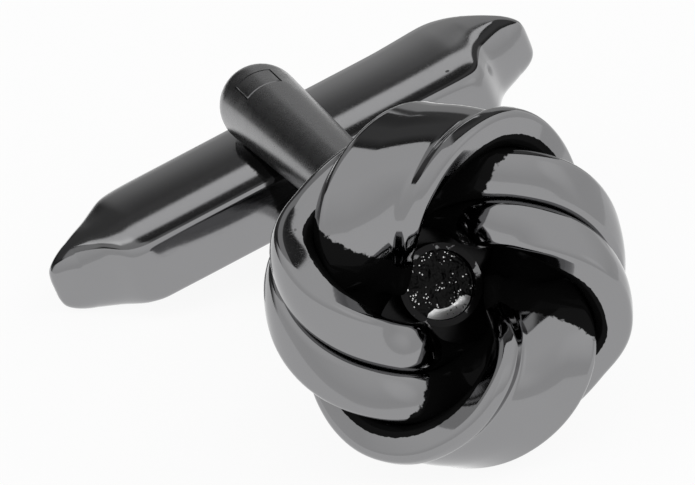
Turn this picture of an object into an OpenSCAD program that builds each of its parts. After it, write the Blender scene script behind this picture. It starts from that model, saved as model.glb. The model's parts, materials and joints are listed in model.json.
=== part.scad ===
// Love-knot cufflink with a toggle that swivels between the two arms of its post.
// Millimetres. It lies on a flat surface: the knot's rim, the lower arm and one end of the toggle touch it.

/* [Knot] */
// Diameter of the knot over its strands
knot_d = 14; // [10:0.5:20]
// Depth of the knot, from the back of its plate to the crest of its strands
knot_depth = 6.3; // [5:0.1:9]
// Width of one band, a ribbon or two strands side by side, as a share of the knot's diameter
band_w_share = 0.27; // [0.2:0.005:0.275]
// Thickness of a ribbon
ribbon_t = 1.3; // [0.8:0.05:1.8]
// Gap between the two strands of a band
strand_gap = 0.06; // [0.02:0.01:0.2]
// Lean of the knot on its post, towards the upper arm
head_lean = 20; // [0:1:24]
// Distance from the post's axis to the middle of the plate's back, towards the upper arm
head_shift = 0.35; // [0:0.05:0.6]

/* [Back plate] */
// Diameter of the plate that closes the back of the knot
plate_d = 11.6; // [10.4:0.1:12.4]
// Thickness of the plate
plate_t = 0.8; // [0.5:0.05:1.2]
// Diameter of the foot that carries the arms, in the plate's hole
foot_d = 8.8; // [8.4:0.1:9.4]
// Outer diameter of the cup in the knot's middle hole
cup_d = 3.2; // [2.6:0.1:3.4]
// Wall of the cup
cup_wall = 0.25; // [0.15:0.05:0.5]
// Height of the cup above the plate
cup_h = 1.4; // [0.8:0.1:1.6]

/* [Post] */
// Distance from the back of the plate to the hinge
post_reach = 16.4; // [15:0.2:22]
// Diameter of an arm at its round end
arm_d = 3.36; // [3:0.02:3.8]
// Diameter of an arm where it meets the foot
arm_root_d = 2.3; // [1.8:0.1:3]
// Distance from the middle plane to the centre of an arm's round section
arm_offset = 2.38; // [2.2:0.02:2.8]
// How far the centre of an arm's round end lies beyond the hinge
arm_beyond = 1.3; // [0.8:0.1:2]
// Length of a key along the toggle
key_w = 1.55; // [1:0.05:2]
// Length of a key along the post
key_l = 1.45; // [1:0.05:2]

/* [Toggle] */
// Length of the toggle over its tips
toggle_l = 22; // [16:0.5:25]
// Width of the toggle along the post
toggle_w = 6.3; // [5:0.1:7]
// Thickness of the toggle between the arms
toggle_t = 3.2; // [2.6:0.1:3.3]
// Diameter of the hinge pin
pin_d = 1.3; // [1:0.05:1.6]

/* [Fits] */
// Running clearance round the hinge pin
pin_play = 0.05; // [0.03:0.01:0.08]
// Clearance between pieces that are fitted and soldered
fit_gap = 0.03; // [0.02:0.01:0.06]
// Gap between the toggle and the flat of each arm
side_play = 0.1; // [0.08:0.01:0.2]

/* [Hidden] */

$fn = 48;
knot_r = knot_d / 2;
band_w = band_w_share * knot_d;
plate_r = plate_d / 2;
foot_r = foot_d / 2;
pin_r = pin_d / 2;
arm_r = arm_d / 2;
arm_root_r = arm_root_d / 2;
// What a cut runs past the solid that it cuts
overrun = 1;

// Sections of the toggle from its left tip to its right one. Each row holds the place along the toggle as a
// share of half its length, the back and the front as shares of half its width, the thickness as a share of
// its thickness, and the radius of the long edges as a share of half its thickness.
middle_back_share = 1.1;
toggle_shares = [
    [-0.990, -0.04, 0.04, 0.27, 0.20],
    [-0.984, -0.09, 0.09, 0.46, 0.30],
    [-0.968, -0.15, 0.15, 0.60, 0.45],
    [-0.935, -0.24, 0.23, 0.75, 0.60],
    [-0.890, -0.37, 0.34, 0.87, 0.68],
    [-0.840, -0.51, 0.48, 0.93, 0.66],
    [-0.800, -0.62, 0.62, 0.95, 0.60],
    [-0.770, -0.71, 0.76, 0.96, 0.52],
    [-0.740, -0.82, 0.89, 0.97, 0.44],
    [-0.710, -0.92, 0.96, 0.98, 0.36],
    [-0.670, -1.03, 1.00, 1.00, 0.28],
    [-0.610, -1.09, 1.00, 1.00, 0.24],
    [-0.520, -1.10, 1.00, 1.00, 0.22],
    [-0.430, -middle_back_share, 1.00, 1.00, 0.22],
    [ 0.000, -middle_back_share, 1.00, 1.00, 0.22],
    [ 0.430, -middle_back_share, 1.00, 1.00, 0.22],
    [ 0.520, -1.12, 1.00, 1.00, 0.24],
    [ 0.610, -1.17, 1.00, 1.00, 0.28],
    [ 0.680, -1.22, 0.98, 1.00, 0.36],
    [ 0.720, -1.23, 0.91, 0.99, 0.44],
    [ 0.750, -1.20, 0.77, 0.98, 0.52],
    [ 0.780, -1.13, 0.58, 0.97, 0.60],
    [ 0.810, -1.03, 0.42, 0.96, 0.66],
    [ 0.850, -0.87, 0.30, 0.93, 0.68],
    [ 0.900, -0.64, 0.19, 0.87, 0.68],
    [ 0.945, -0.44, 0.10, 0.75, 0.60],
    [ 0.977, -0.30, 0.03, 0.60, 0.45],
    [ 0.994, -0.22, -0.05, 0.46, 0.30],
    [ 1.000, -0.16, -0.10, 0.27, 0.20]];
// Slopes of the toggle's crowned sides and front where its long edges start
side_tilt = 12;
front_tilt = 6;
edge_steps = 3;
// Places across a side, as shares of its half width, where its crown has points
crown_shares = [0.6, 0, -0.6];
bar_steps_a_row = 2;

// Route of a band over the knot, from its inner end beside the cup to its outer end behind the rim.
// Each row holds the turn about the knot's axis in degrees, the distance from the axis as a share of the
// knot's radius, the height above the plate's back as a share of the knot's depth, the lean of the band's
// upper side away from the axis in degrees, and the band's width as a share of its full width.
strand_route_shares = [
    [131, 0.440, 0.320, -112, 0.58],
    [118, 0.440, 0.335,  -96, 0.68],
    [102, 0.435, 0.370,  -76, 0.80],
    [ 88, 0.445, 0.425,  -48, 0.90],
    [ 76, 0.460, 0.510,  -22, 0.96],
    [ 66, 0.485, 0.635,   -7, 1.00],
    [ 54, 0.535, 0.755,   -6, 1.00],
    [ 38, 0.615, 0.795,   -2, 1.00],
    [ 20, 0.720, 0.785,   30, 1.00],
    [  0, 0.840, 0.695,   73, 1.00],
    [-16, 0.876, 0.516,  100, 1.00],
    [-30, 0.810, 0.430,  111, 1.00],
    [-43, 0.770, 0.427,  115, 1.00],
    [-56, 0.770, 0.423,  113, 0.92],
    [-68, 0.790, 0.400,  106, 0.80]];
ribbon_route_shares = [
    [127, 0.430, 0.330, -102, 0.52],
    [116, 0.450, 0.335,  -80, 0.64],
    [102, 0.455, 0.370,  -42, 0.76],
    [ 86, 0.458, 0.450,  -20, 0.85],
    [ 74, 0.440, 0.566,  -12, 0.86],
    [ 63, 0.498, 0.708,   -9, 0.98],
    [ 50, 0.580, 0.795,   -8, 1.04],
    [ 34, 0.655, 0.820,    4, 1.03],
    [ 18, 0.730, 0.820,   23, 1.00],
    [  0, 0.825, 0.750,   53, 1.00],
    [-16, 0.880, 0.610,   83, 1.00],
    [-30, 0.850, 0.465,  106, 1.00],
    [-43, 0.765, 0.405,  122, 1.00],
    [-56, 0.715, 0.390,  129, 0.88],
    [-64, 0.690, 0.385,  130, 0.70]];
steps_a_row = 4;
tangent_step = 1 / (8 * steps_a_row);
// Quarter turns of the four bands about the knot's axis
right_turn = -20;
upper_turn = right_turn + 90;
left_turn = right_turn + 180;
lower_turn = right_turn + 270;

strand_r = (band_w - strand_gap) / 4;
strand_sides = 16;
strand_place = band_w / 4;

function unit(v) = v / norm(v);
// A smooth curve through the rows of a table, at row number u
function row_at(table, u) =
    let (last = len(table) - 1,
        i = max(0, min(floor(u), last - 1)),
        t = u - i,
        b = table[i],
        c = table[i + 1],
        a = i > 0 ? table[i - 1] : 2 * b - c,
        d = i + 2 <= last ? table[i + 2] : 2 * c - b)
    b + t * ((c - a) + t * ((2 * a - 5 * b + 4 * c - d) + t * (3 * b - a - 3 * c + d))) / 2;
function route_point(route, u) =
    let (row = row_at(route, u))
    [row[1] * knot_r * cos(row[0]), row[1] * knot_r * sin(row[0]), row[2] * knot_depth];
// One ring of a band: its section set square to the route
function route_ring(route, section, u) =
    let (row = row_at(route, u),
        along = unit(route_point(route, u + tangent_step) - route_point(route, u - tangent_step)),
        up = [sin(row[3]) * cos(row[0]), sin(row[3]) * sin(row[0]), cos(row[3])],
        across = unit(cross(up, along)),
        out = cross(along, across))
    [for (p = section) route_point(route, u) + row[4] * (p[0] * across + p[1] * out)];
// The section of a strand, place being its distance from the middle of the band
function strand_section(place) =
    [for (i = [0 : strand_sides - 1])
        let (a = 360 * i / strand_sides)
        [place + strand_r * sin(a), -strand_r * cos(a)]];

// The ribbon's section: a flat back, a crowned face and a rolled bead along its inner edge
bead_r = 0.4 * ribbon_t;
crown = 0.22 * ribbon_t;
edge_r = 0.3 * ribbon_t;
bead_place = -band_w / 2 + bead_r;
bead_rise = ribbon_t / 2 - 0.15 * bead_r;
ribbon_section = concat(
    [[0, -ribbon_t / 2], [band_w / 2 - edge_r, -ribbon_t / 2]],
    [for (a = [-45 : 45 : 45])
        [band_w / 2 - edge_r + edge_r * cos(a), -ribbon_t / 2 + 2 * edge_r + edge_r * sin(a)]],
    [for (s = [0.8 : -0.3 : -0.5])
        [s * band_w / 2, ribbon_t / 2 - crown * s * s]],
    [for (a = [20 : 40 : 180])
        [bead_place + bead_r * cos(a), bead_rise + bead_r * sin(a)]],
    [[bead_place - bead_r, 0], [bead_place, -ribbon_t / 2]]);

// One ring of the toggle: crowned sides and ends joined by round edges
function bar_ring(row) =
    let (half_w = (row[2] - row[1]) * toggle_w / 4,
        middle_z = (row[2] + row[1]) * toggle_w / 4,
        half_t = row[3] * toggle_t / 2,
        r = min(row[4] * toggle_t / 2, 0.9 * half_w, 0.9 * half_t),
        side_crown = (half_w - r) * tan(side_tilt) / 2,
        edge_y = half_t - side_crown - r * cos(side_tilt),
        edge_z = half_w - edge_y * tan(front_tilt) / 2 - r * cos(front_tilt),
        side_z = edge_z + r * sin(side_tilt),
        edge_turn = 90 - side_tilt - front_tilt,
        edge = [for (i = [0 : edge_steps])
            let (a = front_tilt + edge_turn * i / edge_steps)
            [edge_y + r * sin(a), edge_z + r * cos(a)]],
        crown = [for (s = crown_shares) [half_t - side_crown * s * s, s * side_z]],
        back_edge = [for (i = [edge_steps : -1 : 0]) [edge[i][0], -edge[i][1]]],
        side = concat(edge, crown, back_edge),
        around = concat([[0, half_w]], [for (p = side) [-p[0], p[1]]], [[0, -half_w]],
            [for (i = [len(side) - 1 : -1 : 0]) side[i]]))
    [for (p = around) [row[0] * toggle_l / 2, p[0], p[1] + middle_z]];
toggle_rings = [for (k = [0 : (len(toggle_shares) - 1) * bar_steps_a_row])
    bar_ring(row_at(toggle_shares, k / bar_steps_a_row))];

// A solid through rings of n points each, with flat ends
module through_rings(rings) {
    n = len(rings[0]);
    last = len(rings) - 1;
    sides = [for (k = [0 : last - 1], i = [0 : n - 1])
        let (a = k * n + i, b = k * n + (i + 1) % n)
        each [[a, a + n, b], [b, a + n, b + n]]];
    first_end = [for (i = [1 : n - 2]) [0, i, i + 1]];
    last_end = [for (i = [1 : n - 2]) [last * n, last * n + i + 1, last * n + i]];
    polyhedron([for (ring = rings) each ring], concat(sides, first_end, last_end), 10);
}
// A band or strand: its section carried along the route
module swept(route, section, turn, tint) {
    rings = [for (k = [0 : (len(route) - 1) * steps_a_row]) route_ring(route, section, k / steps_a_row)];
    color(tint) on_post() rotate([0, 0, turn]) through_rings(rings);
}

gunmetal = [0.27, 0.27, 0.28];
dark_gunmetal = [0.19, 0.19, 0.2];
solder_grey = [0.5, 0.5, 0.5];
spring_steel = [0.6, 0.6, 0.62];

module upper_ribbon() { swept(ribbon_route_shares, ribbon_section, upper_turn, gunmetal); }
module lower_ribbon() { swept(ribbon_route_shares, ribbon_section, lower_turn, gunmetal); }
module right_outer_strand() { swept(strand_route_shares, strand_section(strand_place), right_turn, gunmetal); }
module right_inner_strand() { swept(strand_route_shares, strand_section(-strand_place), right_turn, gunmetal); }
module left_outer_strand() { swept(strand_route_shares, strand_section(strand_place), left_turn, gunmetal); }
module left_inner_strand() { swept(strand_route_shares, strand_section(-strand_place), left_turn, gunmetal); }

// Puts what is drawn with the plate's back at zero on the end of the post, leaning
module on_post() {
    lie_down() translate([0, head_shift, post_reach]) rotate([-head_lean, 0, 0]) children();
}
// Lays what is drawn about the hinge, with the knot on +Z and the toggle along X, on the surface. The part
// rests on the plate's rim, the ball of the lower arm and the left end of the toggle.
head_axis = [0, sin(head_lean), cos(head_lean)];
rest_arm = [0, -arm_offset, -arm_beyond];
rest_plate = [0, head_shift, post_reach];
left_end_points = [for (k = [0 : len(toggle_rings) / 2]) each toggle_rings[k]];
function farthest(points, way) =
    let (reach = [for (p = points) p * way],
        most = max(reach))
    [for (i = [0 : len(points) - 1]) if (reach[i] == most) points[i]][0];
function flat_under(down) =
    let (arm_spot = rest_arm + arm_r * down,
        tip_spot = farthest(left_end_points, down),
        rim_spot = rest_plate + plate_r * unit(down - (down * head_axis) * head_axis))
    unit(cross(rim_spot - arm_spot, tip_spot - arm_spot));
function settled(down, turns) = turns == 0 ? down : settled(flat_under(down), turns - 1);
up = -settled([0, -1, 0], 12);
back = -unit([0, 0, 1] - up[2] * up);
right = cross(back, up);
lie_turn = [atan2(up[1], up[2]), -asin(up[0]), atan2(back[0], right[0])];
lie_height = arm_r - rest_arm * up;
// The middle of the part's outline lies over the origin
middle_y_share = 0.451;
lie_place = [0, middle_y_share * (post_reach + knot_depth), lie_height];
module lie_down() {
    translate(lie_place) rotate(lie_turn) children();
}

module base_plate() {
    color(dark_gunmetal) on_post() difference() {
        cylinder(h = plate_t, r = plate_r);
        translate([0, 0, -overrun]) cylinder(h = plate_t + 2 * overrun, r = foot_r + fit_gap);
    }
}

module post_foot() {
    color(dark_gunmetal) on_post() cylinder(h = plate_t, r = foot_r);
}

module centre_cup() {
    cup_r = cup_d / 2;
    color(dark_gunmetal) on_post() translate([0, 0, plate_t + fit_gap]) difference() {
        cylinder(h = cup_h, r = cup_r);
        translate([0, 0, cup_wall]) cylinder(h = cup_h, r = cup_r - cup_wall);
    }
}

pool_share = 0.3;
module solder_fill() {
    pool_r = cup_d / 2 - cup_wall - fit_gap;
    pool_h = pool_share * cup_h;
    color(solder_grey) on_post() translate([0, 0, plate_t + cup_wall + 2 * fit_gap])
        cylinder(h = pool_h, r = pool_r);
}

// The round solid of an arm, on +Y: a ball beyond the hinge and a cone that runs to the foot
arm_flat = toggle_t / 2 + side_play;
module arm_solid() {
    intersection() {
        translate([0, arm_offset, -arm_beyond]) union() {
            sphere(r = arm_r);
            cylinder(h = post_reach + arm_beyond + overrun, r1 = arm_r, r2 = arm_root_r);
        }
        translate([-arm_d, arm_flat, -arm_beyond - arm_d])
            cube([2 * arm_d, arm_d + arm_offset, post_reach + arm_beyond + 2 * arm_d]);
    }
}
// Half the space in front of the foot, in the post's frame
module behind_foot() {
    translate([0, head_shift, post_reach]) rotate([-head_lean, 0, 0])
        translate([-knot_d, -knot_d, -fit_gap]) cube([2 * knot_d, 2 * knot_d, knot_d]);
}
key_depth = 1.2;
arm_crest = arm_offset + arm_r;
module key_box(gap) {
    translate([-key_w / 2 - gap, arm_crest - key_depth - gap, -key_l / 2 - gap])
        cube([key_w + 2 * gap, key_depth + overrun, key_l + 2 * gap]);
}
pin_end = arm_crest - key_depth - 2 * fit_gap;
module arm(side) {
    color(gunmetal) lie_down() difference() {
        mirror([0, side < 0 ? 1 : 0, 0]) difference() {
            arm_solid();
            key_box(fit_gap);
            rotate([90, 0, 0]) cylinder(h = 4 * arm_d, r = pin_r + fit_gap, center = true);
        }
        behind_foot();
    }
}
module upper_arm() { arm(1); }
module lower_arm() { arm(-1); }
module key(side) {
    color(dark_gunmetal) lie_down() mirror([0, side < 0 ? 1 : 0, 0]) intersection() {
        arm_solid();
        key_box(0);
    }
}
module upper_key() { key(1); }
module lower_key() { key(-1); }

waist_l = 1.6;
waist_share = 1.4;
module hinge_pin() {
    color(spring_steel) lie_down() rotate([90, 0, 0]) union() {
        for (side = [0, 1]) mirror([0, 0, side])
            translate([0, 0, waist_l / 2]) cylinder(h = pin_end - waist_l / 2, r = pin_r);
        cube([waist_share * pin_r, waist_share * pin_r, waist_l], center = true);
    }
}

// The slot in the middle of the toggle's back
bar_back = -middle_back_share * toggle_w / 2;
slot_w = 1.2;
slot_l = 9;
cover_t = 0.4;
spring_t = 0.22;
spring_inset = 1;
module toggle_bar() {
    color(gunmetal) lie_down() difference() {
        through_rings(toggle_rings);
        rotate([90, 0, 0]) cylinder(h = toggle_t + 2 * overrun, r = pin_r + pin_play, center = true);
        translate([-slot_l / 2, -slot_w / 2, bar_back - overrun])
            cube([slot_l, slot_w, pin_r + 2 * pin_play - bar_back + overrun]);
    }
}
module slot_cover() {
    color(dark_gunmetal) lie_down() translate([-slot_l / 2 + fit_gap, -slot_w / 2 + fit_gap, bar_back])
        cube([slot_l - 2 * fit_gap, slot_w - 2 * fit_gap, cover_t]);
}
module detent_spring() {
    span = slot_l - 2 * spring_inset;
    base_z = bar_back + cover_t + fit_gap;
    crest_z = -pin_r - pin_play;
    rise = crest_z - base_z;
    bow_r = (span * span / 4 + rise * rise) / (2 * rise);
    color(spring_steel) lie_down() translate([0, slot_w / 2 - 2 * fit_gap, 0]) rotate([90, 0, 0])
        linear_extrude(slot_w - 4 * fit_gap) intersection() {
            translate([0, crest_z - bow_r]) difference() {
                circle(r = bow_r, $fn = 200);
                circle(r = bow_r - spring_t, $fn = 200);
            }
            translate([-span, base_z]) square([2 * span, rise + overrun]);
        }
}

upper_ribbon();
lower_ribbon();
right_outer_strand();
right_inner_strand();
left_outer_strand();
left_inner_strand();
base_plate();
post_foot();
centre_cup();
solder_fill();
upper_arm();
lower_arm();
upper_key();
lower_key();
hinge_pin();
toggle_bar();
detent_spring();
slot_cover();
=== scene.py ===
"""A love-knot cufflink with a swivel toggle, lying on a white surface under plain soft light."""
import json
import math
from functools import partial

import bmesh
import bpy
from mathutils import Matrix, Vector
from mathutils.noise import noise as noise_at


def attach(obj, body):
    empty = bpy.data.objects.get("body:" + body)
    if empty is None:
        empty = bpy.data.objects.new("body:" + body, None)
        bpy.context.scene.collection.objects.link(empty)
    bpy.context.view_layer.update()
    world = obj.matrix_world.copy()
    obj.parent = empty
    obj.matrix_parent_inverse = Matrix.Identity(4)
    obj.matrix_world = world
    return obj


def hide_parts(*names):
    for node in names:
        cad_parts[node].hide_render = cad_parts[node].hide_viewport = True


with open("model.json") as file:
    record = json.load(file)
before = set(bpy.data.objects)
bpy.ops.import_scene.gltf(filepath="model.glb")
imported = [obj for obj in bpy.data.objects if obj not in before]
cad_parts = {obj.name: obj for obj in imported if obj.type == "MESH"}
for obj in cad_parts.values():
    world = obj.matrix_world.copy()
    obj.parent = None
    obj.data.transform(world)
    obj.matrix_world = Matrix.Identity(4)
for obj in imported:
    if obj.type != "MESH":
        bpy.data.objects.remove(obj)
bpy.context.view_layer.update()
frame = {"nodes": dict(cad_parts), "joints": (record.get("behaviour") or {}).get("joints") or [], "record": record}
MM = 0.001


# The photograph's view

# In pixels: the picture's width and height, and the lens's focal length
VIEW_WIDTH = 695
VIEW_HEIGHT = 485
VIEW_FOCUS = 6916
# The sensor's width in millimetres
SENSOR = 36
VIEW_DISTANCE = 260 * MM
# The camera's right, up and backwards, in the frame's axes
VIEW_RIGHT = Vector((0.93387, -0.34825, -0.08133))
VIEW_UP = Vector((0.21543, 0.36630, 0.90521))
VIEW_BACK = Vector((-0.28545, -0.86287, 0.41710))
# Where the middle of the knot is seen, in pixels from the picture's top left corner
KNOT_SEEN = (446, 285)


def add_camera(knot_middle):
    """Sets the camera where the photograph was taken from, aimed a little beside the knot."""
    data = bpy.data.cameras.new("photo_view")
    data.sensor_width = SENSOR
    data.lens = SENSOR * VIEW_FOCUS / VIEW_WIDTH
    data.clip_start = 0.01
    data.clip_end = 10
    camera = bpy.data.objects.new("photo_view", data)
    bpy.context.scene.collection.objects.link(camera)
    sideways = (KNOT_SEEN[0] - VIEW_WIDTH / 2) / VIEW_FOCUS
    upwards = (VIEW_HEIGHT / 2 - KNOT_SEEN[1]) / VIEW_FOCUS
    back = (VIEW_BACK + sideways * VIEW_RIGHT + upwards * VIEW_UP).normalized()
    right = VIEW_UP.cross(back).normalized()
    up = back.cross(right)
    turn = Matrix((right, up, back)).transposed().to_4x4()
    camera.matrix_world = Matrix.Translation(knot_middle + VIEW_DISTANCE * VIEW_BACK) @ turn
    bpy.context.scene.camera = camera


# Where the knot and the toggle are

KNOT_R = 7 * MM
KNOT_DEPTH = 6.3 * MM
BAND_W = 3.78 * MM
RIBBON_T = 1.3 * MM
STRAND_GAP = 0.06 * MM
PLATE_R = 5.8 * MM
PLATE_T = 0.8 * MM
FOOT_R = 4.4 * MM
FIT_GAP = 0.03 * MM
CUP_R = 1.6 * MM
CUP_WALL = 0.25 * MM
# Turns of the bands about the knot's axis: the right one's, and from each to the next
RIGHT_TURN = -20
QUARTER = 90


def axes(x, y, z, origin):
    """The placing that takes the axes to x, y and z, and zero to origin."""
    turn = Matrix((x, y, z)).transposed().to_4x4()
    return Matrix.Translation(origin) @ turn


def find_places():
    """Where the knot, with its plate's back at zero, and the hinge are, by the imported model's own facts."""
    hinge = frame["joints"][0]
    seat = frame["record"]["mounts"][0]
    post_y = Vector(hinge["axis"]).normalized()
    knot_z = -Vector(seat["axis"]).normalized()
    right = post_y.cross(knot_z).normalized()
    knot_y = knot_z.cross(right)
    seat_middle = (FOOT_R + FIT_GAP + PLATE_R) / 2
    plate_middle = Vector(seat["pos_m"]) - seat_middle * right
    post_z = right.cross(post_y)
    knot = axes(right, knot_y, knot_z, plate_middle)
    toggle = axes(right, post_y, post_z, Vector(hinge["pos_m"]))
    return knot, toggle


# Shader helpers


class Wire:
    """A node's output. Sums, differences and products of wires add their Math nodes."""

    def __init__(self, board, socket):
        self.board = board
        self.socket = socket

    def math(self, operation, first, second):
        return self.board.add("ShaderNodeMath", {"operation": operation}, {0: first, 1: second})

    def __add__(self, other):
        return self.math("ADD", self, other)

    def __radd__(self, other):
        return self.math("ADD", other, self)

    def __sub__(self, other):
        return self.math("SUBTRACT", self, other)

    def __rsub__(self, other):
        return self.math("SUBTRACT", other, self)

    def __mul__(self, other):
        return self.math("MULTIPLY", self, other)

    def __rmul__(self, other):
        return self.math("MULTIPLY", other, self)

    def above(self, level, softness):
        """0 below level, 1 above it, over a band that wide."""
        return self.board.add(
            "ShaderNodeMapRange",
            {"interpolation_type": "SMOOTHSTEP"},
            {0: self, 1: level - softness / 2, 2: level + softness / 2, 3: 0.0, 4: 1.0},
        )


class Board:
    """A node tree that is built up one node at a time."""

    def __init__(self, tree):
        self.tree = tree
        tree.nodes.clear()

    def add(self, kind, settings=None, inputs=None, output=0):
        """Adds a node, its settings first, then the values or wires of its inputs; gives one output."""
        node = self.tree.nodes.new(kind)
        for name, value in (settings or {}).items():
            if name == "stops":
                self.set_stops(node.color_ramp, value)
            else:
                setattr(node, name, value)
        for name, value in (inputs or {}).items():
            if isinstance(value, Wire):
                self.tree.links.new(value.socket, node.inputs[name])
            else:
                node.inputs[name].default_value = value
        return Wire(self, node.outputs[output]) if len(node.outputs) else None

    @staticmethod
    def set_stops(ramp, stops):
        while len(ramp.elements) < len(stops):
            ramp.elements.new(0.5)
        for element, (place, grey) in zip(ramp.elements, stops):
            element.position = place
            element.color = (grey, grey, grey, 1)


def new_material(name):
    """A new material and its board."""
    material = bpy.data.materials.new(name)
    material.use_nodes = True
    return material, Board(material.node_tree)


def place_on(board, scale=(1, 1, 1), turn=(0, 0, 0)):
    """The piece's own coordinates in millimetres, stretched and turned."""
    spot = board.add("ShaderNodeTexCoord", output="Object")
    size = [s / MM for s in scale]
    return board.add("ShaderNodeMapping", {}, {"Vector": spot, "Scale": size, "Rotation": turn})


def noise(board, spot, scale, detail, rough=0.5):
    return board.add(
        "ShaderNodeTexNoise", {}, {"Vector": spot, "Scale": scale, "Detail": detail, "Roughness": rough}
    )


def place_along(board, placing, axis):
    """How far a point lies along an axis of a placing, in millimetres."""
    spot = board.add("ShaderNodeTexCoord", output="Object")
    out = placing.to_3x3().col[axis]
    along = board.add("ShaderNodeVectorMath", {"operation": "DOT_PRODUCT"}, {0: spot, 1: out}, "Value")
    return along * (1 / MM) - out.dot(placing.to_translation()) / MM


# The dark matte colour of the painted shade: what is left of the light where shade is painted over the metal
SHADE_BLACK = 0.004
# In millimetres in front of the plate's back: where the painted shade of the hollow starts, and the cup's rim
HOLLOW_HEIGHT = 0.74
RIM_HEIGHT = 2.16
# How far left of the hinge the painted shade in the toggle's corner reaches, in millimetres
CORNER_REACH = 2.05
# The values that tell how far a point of a band lies past its fold, which places the painted shade, and where the
# solder keeps its painted highlight
INWARDS = "inwards"
HIGHLIGHT_MASK = "clean"


def painted_backing_shade(knot):
    """Painted shade on what lies in front of the plate, left off in patches on the cup's rim so that the metal
    shows there.
    """

    def wire(board, spot, cloud):
        height = place_along(board, knot, 2)
        # Patches of the cup's rim where the painted shade is left off, so that the metal's own glints show
        unshaded_rim = height.above(RIM_HEIGHT, 0.02) * cloud.above(0.61, 0.04)
        return 0.93 * height.above(HOLLOW_HEIGHT, 0.04) * (1 - unshaded_rim)

    return wire


def painted_hollow_shade(board, spot, cloud):
    """Painted shade on the bands where they fold down into the knot's hollow, with a ragged edge."""
    inwards = board.add("ShaderNodeAttribute", {"attribute_name": INWARDS}, output="Fac")
    return 0.985 * (inwards + 3.6 * noise(board, spot, 5.0, 2.0)).above(1.8, 0.7)


def painted_corner_shade(toggle):
    """Painted shade on the toggle's front in the corner beside the arms, on its left, where the arms shade it."""

    def wire(board, spot, cloud):
        left = 0.3 * noise(board, spot, 4.0, 2.0) - place_along(board, toggle, 0)
        front = place_along(board, toggle, 2).above(0.2, 2.4)
        return 0.85 * front * left.above(0.3, 0.2) * (1 - left.above(CORNER_REACH, 0.15))

    return wire


def bare_metal(board, tint, shine, bump):
    return board.add(
        "ShaderNodeBsdfPrincipled",
        {},
        {"Base Color": tint, "Metallic": 1.0, "Roughness": shine, "Normal": bump},
    )


# How much the plating's tone drifts, and how much hairlines and pits roughen it
DRIFT = 0.05
HAIR_ROUGHNESS = 0.04
PIT_ROUGHNESS = 0.3


def metal(name, tone, roughness, grain, painted_shade=None):
    """A plated metal: its tone drifts a little; fine grain, hairlines and rare pits break its shine. Where a mask
    is given, painted shade is mixed over it.
    """
    material, board = new_material(name)
    spot = place_on(board)
    drift = noise(board, spot, 0.35, 3.0)
    cloud = noise(board, spot, 1.4, 4.0, 0.6)
    fine = noise(board, spot, 22.0, 3.0, 0.65)
    lines_one = noise(board, place_on(board, (0.5, 9.0, 9.0), (0.3, 0.2, 0.9)), 3.0, 2.0)
    lines_two = noise(board, place_on(board, (8.0, 0.45, 8.0), (0.7, 0.1, 0.4)), 3.0, 2.0)
    hairlines = lines_one.above(0.66, 0.05) + lines_two.above(0.67, 0.05)
    cells = board.add("ShaderNodeTexVoronoi", {"feature": "F1"}, {"Vector": spot, "Scale": 0.55})
    pits = 1 - cells.above(0.045, 0.03)
    shade = tone * (1 - DRIFT / 2 + DRIFT * drift) - pits * (tone * 0.5)
    tint = board.add("ShaderNodeCombineColor", {}, {0: shade, 1: shade, 2: shade * 1.02})
    shine = roughness * (0.8 + 0.4 * cloud) + HAIR_ROUGHNESS * hairlines + PIT_ROUGHNESS * pits
    height = grain * fine + 0.35 * cloud - 0.25 * hairlines - 2.0 * pits
    bump = board.add("ShaderNodeBump", {}, {"Strength": 0.12, "Distance": 0.004 * MM, "Height": height})
    shader = bare_metal(board, tint, shine, bump)
    # Where a mask is given, a near-black matte is mixed over the metal: painted shade
    if painted_shade:
        shade_black = board.add("ShaderNodeBsdfDiffuse", {}, {"Color": (SHADE_BLACK, SHADE_BLACK, SHADE_BLACK, 1)})
        shade_mix = painted_shade(board, spot, cloud)
        shader = board.add("ShaderNodeMixShader", {}, {0: shade_mix, 1: shader, 2: shade_black})
    board.add("ShaderNodeOutputMaterial", {}, {"Surface": shader})
    return material


def solder_metal(name):
    """Solder painted almost black as shade in the cup, keeping a bright tone as a painted highlight where it ran
    up the wall, and in scattered specks as painted glints.
    """
    material, board = new_material(name)
    spot = place_on(board)
    clean = board.add("ShaderNodeAttribute", {"attribute_name": HIGHLIGHT_MASK}, output="Fac")
    cloud = noise(board, spot, 2.2, 4.0, 0.6)
    grains = board.add("ShaderNodeTexVoronoi", {"feature": "F1"}, {"Vector": spot, "Scale": 8.0})
    patches = noise(board, spot, 1.1, 2.0)
    # Bright specks on the pool: painted glints
    painted_glints = (1 - grains.above(0.24, 0.1)) * (cloud + patches).above(1.02, 0.06)
    # The run-up keeps a bright tone: a painted highlight
    highlit = clean.above(0.5, 0.2)
    # The rest of the pool is painted almost black: painted shade
    shade = 0.006 + 0.014 * cloud + 0.8 * painted_glints * (1 - highlit) + (0.75 + 0.3 * cloud) * highlit
    tint = board.add("ShaderNodeCombineColor", {}, {0: shade, 1: shade, 2: shade})
    shine = 0.34 + 0.06 * highlit - 0.2 * painted_glints + 0.1 * cloud
    height = (grains * -1.0 + 0.6 * cloud) * (1 - 0.9 * highlit)
    bump = board.add("ShaderNodeBump", {}, {"Strength": 0.6, "Distance": 0.05 * MM, "Height": height})
    shader = bare_metal(board, tint, shine, bump)
    board.add("ShaderNodeOutputMaterial", {}, {"Surface": shader})
    return material


# Pieces


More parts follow.
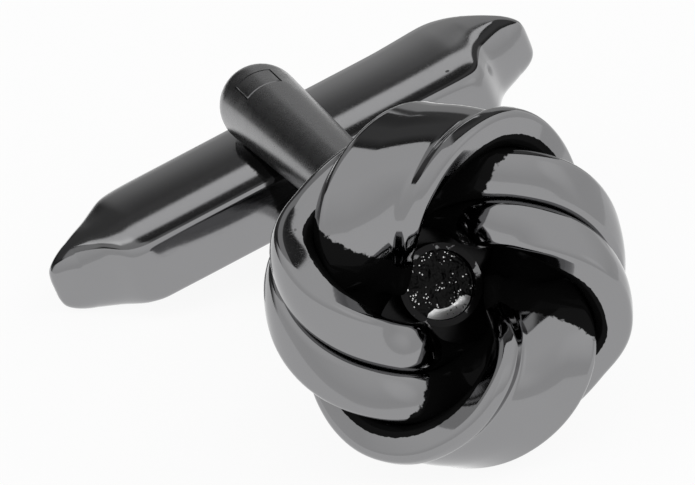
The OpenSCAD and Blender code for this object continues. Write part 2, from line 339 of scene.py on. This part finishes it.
def to_object(name, shape, material, body, crease):
    """Makes the mesh an object that rides on its body, smooth but for edges sharper than crease."""
    mesh = bpy.data.meshes.new(name)
    shape.to_mesh(mesh)
    shape.free()
    for face in mesh.polygons:
        face.use_smooth = True
    mesh.set_sharp_from_angle(angle=math.radians(crease))
    mesh.materials.append(material)
    piece = bpy.data.objects.new(name, mesh)
    bpy.context.scene.collection.objects.link(piece)
    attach(piece, body)
    return piece


def grow(shape, loop):
    """Extrudes a closed loop of edges on the spot, and gives the new loop and its vertices."""
    grown = bmesh.ops.extrude_edge_only(shape, edges=loop)["geom"]
    verts = [part for part in grown if isinstance(part, bmesh.types.BMVert)]
    edges = [part for part in grown if isinstance(part, bmesh.types.BMEdge)]
    return [edge for edge in edges if edge.verts[0] in verts and edge.verts[1] in verts], verts


# Route of a band over the knot, as in the part's source: the turn about the knot's axis in degrees, the
# distance from it and the height as shares of the knot's radius and depth, the lean, and the width share
STRAND_ROUTE = [
    (131, 0.440, 0.320, -112, 0.58),
    (118, 0.440, 0.335, -96, 0.68),
    (102, 0.435, 0.370, -76, 0.80),
    (88, 0.445, 0.425, -48, 0.90),
    (76, 0.460, 0.510, -22, 0.96),
    (66, 0.485, 0.635, -7, 1.00),
    (54, 0.535, 0.755, -6, 1.00),
    (38, 0.615, 0.795, -2, 1.00),
    (20, 0.720, 0.785, 30, 1.00),
    (0, 0.840, 0.695, 73, 1.00),
    (-16, 0.876, 0.516, 100, 1.00),
    (-30, 0.810, 0.430, 111, 1.00),
    (-43, 0.770, 0.427, 115, 1.00),
    (-56, 0.770, 0.423, 113, 0.92),
    (-68, 0.790, 0.400, 106, 0.80),
]
RIBBON_ROUTE = [
    (127, 0.430, 0.330, -102, 0.52),
    (116, 0.450, 0.335, -80, 0.64),
    (102, 0.455, 0.370, -42, 0.76),
    (86, 0.458, 0.450, -20, 0.85),
    (74, 0.440, 0.566, -12, 0.86),
    (63, 0.498, 0.708, -9, 0.98),
    (50, 0.580, 0.795, -8, 1.04),
    (34, 0.655, 0.820, 4, 1.03),
    (18, 0.730, 0.820, 23, 1.00),
    (0, 0.825, 0.750, 53, 1.00),
    (-16, 0.880, 0.610, 83, 1.00),
    (-30, 0.850, 0.465, 106, 1.00),
    (-43, 0.765, 0.405, 122, 1.00),
    (-56, 0.715, 0.390, 129, 0.88),
    (-64, 0.690, 0.385, 130, 0.70),
]
# How many steps a row is divided into, and over how many each way the curve is evened
STEPS = 10
EVENED = 4


def curve_rows(rows):
    """The rows joined by a smooth curve, STEPS to a row, and evened over EVENED steps each way."""
    ends = [2 * Vector(rows[0]) - Vector(rows[1]), 2 * Vector(rows[-1]) - Vector(rows[-2])]
    knots = [ends[0]] + [Vector(row) for row in rows] + [ends[1]]
    fine = []
    for i in range(len(rows) - 1):
        a, b, c, d = knots[i : i + 4]
        # The last stretch has its end as well
        steps = STEPS + 1 if i == len(rows) - 2 else STEPS
        for step in range(steps):
            t = step / STEPS
            bend = (2 * a - 5 * b + 4 * c - d) + t * (3 * b - a - 3 * c + d)
            fine.append(b + t * ((c - a) + t * bend) / 2)
    evened = []
    for i in range(len(fine)):
        reach = min(EVENED, i, len(fine) - 1 - i)
        window = fine[i - reach : i + reach + 1]
        evened.append(sum(window, Vector((0, 0, 0, 0, 0))) / len(window))
    return evened


def on_route(row):
    turn = math.radians(row[0])
    reach = row[1] * KNOT_R
    return Vector((reach * math.cos(turn), reach * math.sin(turn), row[2] * KNOT_DEPTH))


def rings_along(rows):
    """Where each ring of a band sits: across the band, out of its face and along it."""
    points = [on_route(row) for row in rows]
    rings = []
    for i, row in enumerate(rows):
        along = (points[min(i + 1, len(rows) - 1)] - points[max(i - 1, 0)]).normalized()
        turn = math.radians(row[0])
        lean = math.radians(row[3])
        up = Vector((math.sin(lean) * math.cos(turn), math.sin(lean) * math.sin(turn), math.cos(lean)))
        across = up.cross(along).normalized()
        out = along.cross(across)
        rings.append(axes(row[4] * across, row[4] * out, along, points[i]))
    return rings


# Steps of a rounded corner: the least number, the turn and the length of each
CORNER_STEPS = 3
CORNER_TURN = math.radians(15)
CORNER_LENGTH = 0.2 * MM


def rounded_loop(shape, corners):
    """A closed section through corners (x, y, radius), each rounded to its radius."""
    count = len(corners)
    chain = []
    for i, (x, y, radius) in enumerate(corners):
        corner = Vector((x, y, 0))
        before = (corner - Vector((*corners[i - 1][:2], 0))).normalized()
        after = (Vector((*corners[(i + 1) % count][:2], 0)) - corner).normalized()
        turn = math.atan2(before.cross(after).z, before.dot(after))
        side = math.copysign(1, turn)
        start = corner - radius * math.tan(abs(turn) / 2) * before
        centre = start + side * radius * Vector((-before.y, before.x, 0))
        turn_steps = round(abs(turn) / CORNER_TURN)
        steps = max(CORNER_STEPS, turn_steps, round(radius * abs(turn) / CORNER_LENGTH))
        vert = shape.verts.new(start)
        if chain:
            shape.edges.new((chain[-1], vert))
        spun = bmesh.ops.spin(
            shape, geom=[vert], cent=centre, axis=(0, 0, 1), angle=turn, steps=steps, use_merge=False
        )
        chain += [vert] + [part for part in spun["geom_last"] if isinstance(part, bmesh.types.BMVert)]
    shape.edges.new((chain[-1], chain[0]))
    return list(shape.edges)


def ribbon_loop(shape):
    """The ribbon's section: a flat back, a crowned face, and a rolled bead along its inner edge."""
    half = BAND_W / 2
    back = -RIBBON_T / 2
    corners = [
        (-half, back, 0.42 * MM),
        (half, back, 0.36 * MM),
        (half - 0.06 * MM, 0.36 * MM, 0.26 * MM),
        (0.1 * MM, 0.68 * MM, 4.5 * MM),
        (-half + 1.05 * MM, 0.54 * MM, 0.3 * MM),
        (-half + 0.68 * MM, 0.88 * MM, 0.3 * MM),
        (-half, 0.82 * MM, 0.38 * MM),
    ]
    return rounded_loop(shape, corners)


def strand_loop(shape, place):
    """A strand's section, rounded and a little flat on top, at that place across the band."""
    radius = (BAND_W - STRAND_GAP) / 4
    corners = [
        (place - radius, -0.96 * radius, 0.62 * radius),
        (place + radius, -0.96 * radius, 0.62 * radius),
        (place + radius, 0.66 * radius, 0.44 * radius),
        (place, 0.96 * radius, 2.2 * radius),
        (place - radius, 0.66 * radius, 0.44 * radius),
    ]
    return rounded_loop(shape, corners)


# Where the painted shade of the hollow starts on a band, from its inner edge to its outer one: the place
# across it in millimetres, and the turn in degrees
STRAND_FOLD = [(-1.9, 77), (-0.9, 75), (-0.3, 69), (0, 60), (0.6, 56), (1.3, 54), (1.9, 49)]
RIBBON_FOLD = [(-1.9, 71), (-0.95, 70), (-0.75, 66), (-0.45, 63), (0.05, 59.5), (0.87, 55.4), (1.9, 50)]
# How high up the strands' and the ribbons' inner sides the painted shade comes and how far in from them,
# in millimetres, and how many degrees past the fold a millimetre down that side counts for
STRAND_BLACK = -0.35
RIBBON_BLACK = -0.1
BLACK_IN = 0.2
DOWN_SIDE = 40
STRAND = (STRAND_ROUTE, STRAND_FOLD, STRAND_BLACK)
RIBBON = (RIBBON_ROUTE, RIBBON_FOLD, RIBBON_BLACK)


def fold_at(fold, place):
    """The turn at which the band turns black, at that place across it."""
    for (a, turn_a), (b, turn_b) in zip(fold, fold[1:]):
        if place <= b:
            return turn_a + (turn_b - turn_a) * max(0, place - a) / (b - a)
    return fold[-1][1]


def sweep(node, make_loop, band, turn, knot, material):
    """Carries a section along a band's route and closes its ends.

    Each point is told how far into the hollow it lies: past the fold, or down the inner side; this places the
    painted shade.
    """
    route, fold, black_top = band
    shape = bmesh.new()
    inwards, start, side = (shape.verts.layers.float.new(key) for key in (INWARDS, "fold", "side"))
    loop = make_loop(shape)
    inner = min(vert.co.x for vert in shape.verts) / MM
    for vert in shape.verts:
        x, y, _ = vert.co / MM
        vert[start] = fold_at(fold, x)
        vert[side] = DOWN_SIDE * min(black_top - y, inner + BLACK_IN - x)
    rows = curve_rows(route)
    rings = rings_along(rows)
    for vert in shape.verts:
        vert[inwards] = max(rows[0][0] - vert[start], vert[side])
    placing = knot @ Matrix.Rotation(math.radians(turn), 4, "Z")
    bmesh.ops.transform(shape, matrix=rings[0], verts=shape.verts)
    bmesh.ops.edgeloop_fill(shape, edges=loop)
    for row, before, after in zip(rows[1:], rings, rings[1:]):
        loop, verts = grow(shape, loop)
        bmesh.ops.transform(shape, matrix=after @ before.inverted(), verts=verts)
        for vert in verts:
            vert[inwards] = max(row[0] - vert[start], vert[side])
    bmesh.ops.edgeloop_fill(shape, edges=loop)
    bmesh.ops.recalc_face_normals(shape, faces=shape.faces)
    bmesh.ops.transform(shape, matrix=placing, verts=shape.verts)
    piece = to_object(node + "_form", shape, material, "head", crease=50)
    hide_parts(node)


# Sections of the toggle from its left tip to its right one, as in the part's source: the place along it,
# the back and the front as shares of half its length and width, its thickness, and how round its edges are
MIDDLE_BACK = -1.1
TOGGLE_ROWS = [
    (-0.990, -0.04, 0.04, 0.27, 0.20),
    (-0.984, -0.09, 0.09, 0.46, 0.30),
    (-0.968, -0.15, 0.15, 0.60, 0.45),
    (-0.935, -0.24, 0.23, 0.75, 0.60),
    (-0.890, -0.37, 0.34, 0.87, 0.68),
    (-0.840, -0.51, 0.48, 0.93, 0.66),
    (-0.800, -0.62, 0.62, 0.95, 0.60),
    (-0.770, -0.71, 0.76, 0.96, 0.52),
    (-0.740, -0.82, 0.89, 0.97, 0.44),
    (-0.710, -0.92, 0.96, 0.98, 0.36),
    (-0.670, -1.03, 1.00, 1.00, 0.28),
    (-0.610, -1.09, 1.00, 1.00, 0.24),
    (-0.520, -1.10, 1.00, 1.00, 0.22),
    (-0.430, MIDDLE_BACK, 1.00, 1.00, 0.22),
    (0.000, MIDDLE_BACK, 1.00, 1.00, 0.22),
    (0.430, MIDDLE_BACK, 1.00, 1.00, 0.22),
    (0.520, -1.12, 1.00, 1.00, 0.24),
    (0.610, -1.17, 1.00, 1.00, 0.28),
    (0.680, -1.22, 0.98, 1.00, 0.36),
    (0.720, -1.23, 0.91, 0.99, 0.44),
    (0.750, -1.20, 0.77, 0.98, 0.52),
    (0.780, -1.13, 0.58, 0.97, 0.60),
    (0.810, -1.03, 0.42, 0.96, 0.66),
    (0.850, -0.87, 0.30, 0.93, 0.68),
    (0.900, -0.64, 0.19, 0.87, 0.68),
    (0.945, -0.44, 0.10, 0.75, 0.60),
    (0.977, -0.30, 0.03, 0.60, 0.45),
    (0.994, -0.22, -0.05, 0.46, 0.30),
    (1.000, -0.16, -0.10, 0.27, 0.20),
]
TOGGLE_L = 22 * MM
TOGGLE_W = 6.3 * MM
TOGGLE_T = 3.2 * MM
SIDE_TILT = math.radians(12)
FRONT_TILT = math.radians(6)
EDGE_STEPS = 7
CROWN_PLACES = (0.75, 0.5, 0.25, 0, -0.25, -0.5, -0.75)


def bar_ring(row):
    """The points of one section of the toggle: crowned sides and ends joined by round edges."""
    half_w = (row[2] - row[1]) * TOGGLE_W / 4
    middle_z = (row[2] + row[1]) * TOGGLE_W / 4
    half_t = row[3] * TOGGLE_T / 2
    radius = min(row[4] * TOGGLE_T / 2, 0.9 * half_w, 0.9 * half_t)
    side_crown = (half_w - radius) * math.tan(SIDE_TILT) / 2
    edge_y = half_t - side_crown - radius * math.cos(SIDE_TILT)
    edge_z = half_w - edge_y * math.tan(FRONT_TILT) / 2 - radius * math.cos(FRONT_TILT)
    side_z = edge_z + radius * math.sin(SIDE_TILT)
    edge = []
    for step in range(EDGE_STEPS + 1):
        turn = FRONT_TILT + (math.pi / 2 - SIDE_TILT - FRONT_TILT) * step / EDGE_STEPS
        edge.append((edge_y + radius * math.sin(turn), edge_z + radius * math.cos(turn)))
    crown = [(half_t - side_crown * s * s, s * side_z) for s in CROWN_PLACES]
    side = edge + crown + [(y, -z) for y, z in reversed(edge)]
    around = [(0, half_w)] + [(-y, z) for y, z in side] + [(0, -half_w)] + side[::-1]
    return [Vector((row[0] * TOGGLE_L / 2, y, z + middle_z)) for y, z in around]


def add_toggle(toggle, material):
    """The toggle as it was cast, each long edge melting away towards its rounded noses."""
    rings = [bar_ring(row) for row in curve_rows(TOGGLE_ROWS)]
    shape = bmesh.new()
    verts = [shape.verts.new(point) for point in rings[0]]
    loop = [shape.edges.new((a, b)) for a, b in zip(verts, verts[1:] + verts[:1])]
    bmesh.ops.edgeloop_fill(shape, edges=loop)
    for ring in rings[1:]:
        loop, above = grow(shape, loop)
        # The new vertices, in the order of the ones that they grew from
        new_verts = []
        for vert in verts:
            far = [edge.other_vert(vert) for edge in vert.link_edges]
            new_verts.append(next(v for v in far if v in above))
        for vert, point in zip(new_verts, ring):
            vert.co = point
        verts = new_verts
    bmesh.ops.edgeloop_fill(shape, edges=loop)
    bmesh.ops.recalc_face_normals(shape, faces=shape.faces)
    bmesh.ops.transform(shape, matrix=toggle, verts=shape.verts)
    piece = to_object("cast_toggle", shape, material, "toggle", crease=60)
    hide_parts("toggle_bar")


SOLDER_LEVEL = 0.62 * MM
SOLDER_SIDES = 96
SOLDER_RINGS = 14
# Where the solder ran up the cup's wall, how far round it did and how high, and from which share of the
# cup's radius
RUN_UP_TURN = math.radians(-92)
RUN_UP_HALF = math.radians(46)
RUN_UP = 0.42 * MM
RUN_UP_FROM = 0.62
# The solder's lumps, coarse and fine: how wide they are, and how high in millimetres
LUMPS = [(0.55 * MM, 0.10), (0.22 * MM, 0.03)]


def add_solder(knot, material):
    """A lumpy pool of solder in the cup, drawn up its wall on one side."""
    shape = bmesh.new()
    radius = CUP_R - CUP_WALL - FIT_GAP
    floor = PLATE_T + CUP_WALL + 2 * FIT_GAP
    bmesh.ops.create_cone(
        shape,
        cap_ends=True,
        cap_tris=False,
        segments=SOLDER_SIDES,
        radius1=radius,
        radius2=radius,
        depth=SOLDER_LEVEL,
        matrix=Matrix.Translation((0, 0, floor + SOLDER_LEVEL / 2)),
    )
    top = max(shape.faces, key=lambda face: face.calc_center_median().z)
    for _ in range(SOLDER_RINGS):
        bmesh.ops.inset_individual(shape, faces=[top], thickness=0.95 * radius / SOLDER_RINGS)
    bmesh.ops.poke(shape, faces=[top])
    clean = shape.verts.layers.float.new(HIGHLIGHT_MASK)
    for vert in shape.verts:
        if vert.co.z < floor + SOLDER_LEVEL / 2:
            continue
        reach = vert.co.to_2d().length / radius
        turn = math.atan2(vert.co.y, vert.co.x) - RUN_UP_TURN
        turn = abs(math.remainder(turn, 2 * math.pi)) / RUN_UP_HALF
        run_up = max(0, 1 - turn**2) * max(0, (reach - RUN_UP_FROM) / (1 - RUN_UP_FROM)) ** 1.6
        lumps = sum(noise_at(vert.co / wide) * high for wide, high in LUMPS)
        # The run-up is marked to carry the painted highlight
        vert[clean] = 1.0 if run_up > 0.04 else 0.0
        # The lumps are lower where the painted highlight is, and die out at the wall
        lumps = lumps * MM * (1 - 0.8 * vert[clean]) * min(1, 4 * (1 - reach))
        vert.co.z += run_up * RUN_UP + lumps
    bmesh.ops.transform(shape, matrix=knot, verts=shape.verts)
    piece = to_object("solder_pool", shape, material, "head", crease=60)
    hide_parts("solder_fill")


# How sharp an edge is that stays one, and how near each other corners are that are one
SHARP = math.radians(35)
SAME_PLACE = 0.0005 * MM


def dress(node, material, bevel=0.0):
    """Gives a CAD node its finish: merged for smooth shading between its sharp, or eased, edges."""
    piece = frame["nodes"][node]
    for face in piece.data.polygons:
        face.use_smooth = True
    weld = piece.modifiers.new("merged", "WELD")
    weld.merge_threshold = SAME_PLACE
    if bevel:
        eased = piece.modifiers.new("eased_edges", "BEVEL")
        eased.width = bevel
        eased.segments = 1
        eased.angle_limit = SHARP
    split = piece.modifiers.new("sharp_edges", "EDGE_SPLIT")
    split.split_angle = SHARP
    for slot in piece.material_slots:
        slot.material = material


# The surface and the light


# Half the surface's width, and how far behind the origin it ends
FLOOR_HALF = 400 * MM
FLOOR_BACK = 75 * MM
# How much of it shows plain white to the camera, the rest keeping the shadow, and how bright that is
FLOOR_SHARE = 0.88
FLOOR_GLOW = 1.04


def add_floor():
    """A plain white surface that shows white and keeps a faint shadow."""
    shape = bmesh.new()
    bmesh.ops.create_grid(shape, x_segments=1, y_segments=1, size=FLOOR_HALF)
    bmesh.ops.translate(shape, vec=(0, FLOOR_BACK - FLOOR_HALF, 0), verts=shape.verts)
    mesh = bpy.data.meshes.new("surface")
    shape.to_mesh(mesh)
    shape.free()
    floor = bpy.data.objects.new("surface", mesh)
    bpy.context.scene.collection.objects.link(floor)
    material, board = new_material("white_surface")
    rays = board.tree.nodes.new("ShaderNodeLightPath")
    seen = Wire(board, rays.outputs["Is Camera Ray"])
    mirrored = Wire(board, rays.outputs["Is Glossy Ray"])
    through = Wire(board, rays.outputs["Is Transmission Ray"])
    share = seen * FLOOR_SHARE + mirrored + through
    matte = board.add("ShaderNodeBsdfDiffuse", {}, {"Color": (0.86, 0.86, 0.86, 1)})
    glow = board.add("ShaderNodeEmission", {}, {"Color": (1, 1, 1, 1), "Strength": FLOOR_GLOW})
    mixed = board.add("ShaderNodeMixShader", {}, {0: share, 1: matte, 2: glow})
    board.add("ShaderNodeOutputMaterial", {}, {"Surface": mixed})
    mesh.materials.append(material)


def from_view(turn, rise):
    """The direction that far to the right of the front, and that far up, in degrees."""
    turn, rise = math.radians(turn), math.radians(rise)
    return Vector((math.sin(turn) * math.cos(rise), -math.cos(turn) * math.cos(rise), math.sin(rise)))


# The tent's brightness from straight below to straight above, and the share of it that the opening leaves,
# from the directions away from the opening to its middle
TENT = [(0.0, 1.0), (0.3, 1.0), (0.44, 0.86), (0.6, 0.83), (0.85, 0.98), (1.0, 0.98)]
OPENING = [(0.0, 1.0), (0.645, 1.0), (0.655, 0.03), (0.72, 0.06), (0.82, 0.12), (0.93, 0.12), (1.0, 0.05)]
# How bright the opening's left side and its low right side stay, and the lamp at the right
LEFT_GLOW = 0.5
RIGHT_GLOW = 0.42
LAMP_GLOW = 0.13
# Where the opening's middle and that lamp are: degrees to the right of the front, and up
OPENING_AT = (180, 50)
LAMP_AT = (36, 26)


def add_light():
    """A white tent with a dark opening above and behind, a lamp in it and a lamp at the right."""
    world = bpy.data.worlds.new("white_tent")
    world.use_nodes = True
    bpy.context.scene.world = world
    board = Board(world.node_tree)
    spot = board.add("ShaderNodeTexCoord", output="Generated")
    parts = board.tree.nodes.new("ShaderNodeSeparateXYZ")
    board.tree.links.new(spot.socket, parts.inputs[0])
    sideways, backwards, upwards = (Wire(board, parts.outputs[axis]) for axis in "XYZ")

    def facing(direction):
        return board.add(
            "ShaderNodeVectorMath", {"operation": "DOT_PRODUCT"}, {0: spot, 1: direction}, "Value"
        )

    tent = board.add("ShaderNodeValToRGB", {"stops": TENT}, {0: upwards * 0.5 + 0.5})
    opening = board.add("ShaderNodeValToRGB", {"stops": OPENING}, {0: facing(from_view(*OPENING_AT))})
    left_glow = LEFT_GLOW * (1 - sideways.above(-0.14, 0.12)) * upwards.above(0.6, 0.1)
    right_glow = RIGHT_GLOW * sideways.above(0.08, 0.16) * backwards.above(0.5, 0.2)
    low = upwards.above(-0.2, 0.05) * (1 - upwards.above(0.5, 0.1))
    far = 1 - 0.9 * backwards.above(0.6, 0.3) * low
    opening = opening.math("MAXIMUM", opening, left_glow)
    opening = opening.math("MINIMUM", opening, far) + right_glow * low
    across = 1 - (sideways * sideways).above(0.075, 0.02)
    behind = upwards.above(0.55, 0.015) * (1 - upwards.above(0.68, 0.02))
    behind = behind * across * backwards.above(0, 0.1)
    lamp = facing(from_view(*LAMP_AT)).above(0.96, 0.08)
    light = tent * opening + behind + LAMP_GLOW * lamp
    rays = board.tree.nodes.new("ShaderNodeLightPath")
    light = light.math("MAXIMUM", light, Wire(board, rays.outputs["Is Camera Ray"]))
    back = board.add("ShaderNodeBackground", {}, {"Color": light, "Strength": 1.0})
    board.add("ShaderNodeOutputWorld", {}, {"Surface": back})


# The part

knot_place, toggle_place = find_places()
add_camera(knot_place @ Vector((0, 0, KNOT_DEPTH / 2)))
bpy.context.scene.view_settings.view_transform = "Standard"

polished = metal("gunmetal_polished", 0.265, 0.07, 0.5, painted_shade=painted_hollow_shade)
cast = metal("gunmetal_cast", 0.265, 0.08, 0.6, painted_shade=painted_corner_shade(toggle_place))
satin = metal("gunmetal_satin", 0.22, 0.27, 1.0)
backing = metal("gunmetal_backing", 0.2, 0.16, 1.0, painted_shade=painted_backing_shade(knot_place))
steel = metal("spring_steel", 0.5, 0.2, 0.8)
solder = solder_metal("bare_solder")

for name, quarters in (("upper_ribbon", 1), ("lower_ribbon", 3)):
    sweep(name, ribbon_loop, RIBBON, RIGHT_TURN + quarters * QUARTER, knot_place, polished)
for side, quarters in (("right", 0), ("left", 2)):
    for which, place in (("outer", BAND_W / 4), ("inner", -BAND_W / 4)):
        loop = partial(strand_loop, place=place)
        turn = RIGHT_TURN + quarters * QUARTER
        sweep(f"{side}_{which}_strand", loop, STRAND, turn, knot_place, polished)
add_toggle(toggle_place, cast)
add_solder(knot_place, solder)
for name in ("upper_arm", "lower_arm", "slot_cover"):
    dress(name, satin)
for name in ("upper_key", "lower_key"):
    dress(name, satin, bevel=0.05 * MM)
for name in ("base_plate", "post_foot", "centre_cup"):
    dress(name, backing)
for name in ("hinge_pin", "detent_spring"):
    dress(name, steel)

add_floor()
add_light()
